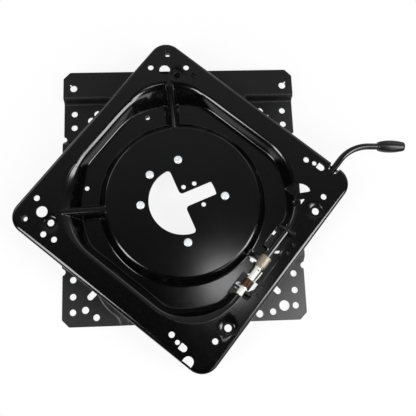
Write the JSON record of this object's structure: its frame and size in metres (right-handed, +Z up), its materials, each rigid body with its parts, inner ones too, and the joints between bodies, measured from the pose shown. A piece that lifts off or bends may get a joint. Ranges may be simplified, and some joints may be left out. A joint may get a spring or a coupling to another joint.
{
  "type": "swivel seat base",
  "caption": "Swivel seat base: a square pressed seat plate turns on a pressed base plate on a riveted ring bearing, held by a sprung lever lock.",
  "frame": {"origin": "on the swivel axis, at the height the base plate rests on", "axes": "+Z up along the swivel axis, +Y to the raised strip of the base plate, +X to the base plate's side nearest the lever grip"},
  "size_m": [0.5873, 0.486, 0.0622],
  "materials": {
    "base_coat": "satin black powder coat",
    "seat_coat": "gloss black powder coat",
    "bracket_coat": "satin black coat",
    "rod_coat": "satin black coat",
    "grip": "black moulded plastic, soft sheen",
    "glide": "off-white bearing plastic",
    "ring_steel": "oiled steel",
    "dark_nut": "dark steel",
    "rivet_steel": "bright zinc plated steel",
    "zinc": "zinc plated steel",
    "pawl_metal": "tan grey cast metal",
    "spring_wire": "copper coloured spring wire"
  },
  "bodies": {
    "base": {"base_plate": "base_coat", "upper_glide": "glide", "lower_glide": "glide"},
    "seat": {"seat_plate": "seat_coat", "spacer_ring": "ring_steel", "clamp_ring": "ring_steel", "rivet_1": "rivet_steel", "rivet_2": "rivet_steel", "rivet_3": "rivet_steel", "rivet_4": "rivet_steel", "rivet_5": "rivet_steel", "weld_nut_left": "dark_nut", "weld_nut_right": "dark_nut", "bracket_left": "bracket_coat", "bracket_right": "bracket_coat", "return_spring": "spring_wire", "spring_screw": "zinc"},
    "lever": {"pawl": "pawl_metal", "stub_shaft": "zinc", "shaft_washer": "zinc", "lever_rod": "rod_coat", "lever_grip": "grip"}
  },
  "joints": [
    {"name": "swivel", "type": "hinge", "parent": "base", "child": "seat", "pos_m": [0, 0, 0.047], "axis": [0, 0, 1], "continuous": true},
    {"name": "lever_lift", "type": "hinge", "parent": "seat", "child": "lever", "pos_m": [0.11108, -0.0932, 0.053], "axis": [-0.6428, -0.766, 0], "range_deg": [0, 25], "stiffness_Nm_per_rad": 0.8, "springref_deg": -28.65}
  ]
}
